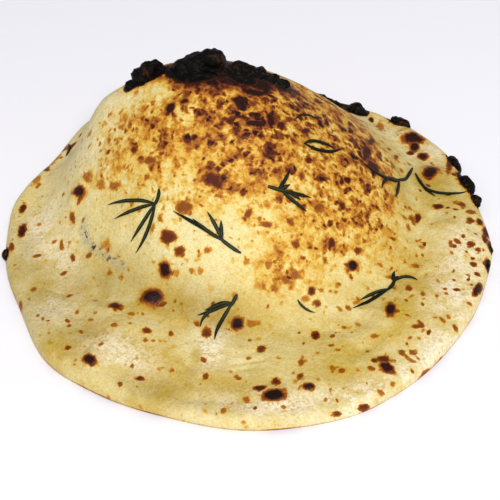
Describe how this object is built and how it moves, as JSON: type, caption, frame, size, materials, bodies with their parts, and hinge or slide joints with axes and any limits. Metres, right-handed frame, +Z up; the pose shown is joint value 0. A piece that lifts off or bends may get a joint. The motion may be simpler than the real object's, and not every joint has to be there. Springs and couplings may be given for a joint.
{
  "type": "rosemary focaccia",
  "caption": "Round puffed rosemary flatbread with one tall off-centre bubble, a charred crest, a thin blistered rim and rosemary sprigs baked onto the crust.",
  "frame": {"origin": "middle of the flat underside, on the surface that the bread rests on", "axes": "+Z up, +X to the right and -Y to the front, the side that shows most rosemary"},
  "size_m": [0.3018, 0.2912, 0.1079],
  "materials": {
    "crust": "baked wheat crust, pale gold to golden brown with leopard spots and char, matt with a slight oily sheen",
    "rosemary": "oven-dried rosemary needles, dark olive green to black, dull"
  },
  "bodies": {
    "root": {"rosemary_focaccia": "crust", "rosemary_sprig_left": "rosemary", "rosemary_sprig_middle": "rosemary", "rosemary_sprig_upper": "rosemary", "rosemary_pair_top": "rosemary", "rosemary_sprig_ridge": "rosemary", "rosemary_pair_right": "rosemary", "rosemary_sprig_front": "rosemary", "rosemary_sprig_low": "rosemary", "rosemary_needle_crest": "rosemary", "rosemary_needle_small": "rosemary", "rosemary_needle_edge": "rosemary"}
  },
  "joints": []
}
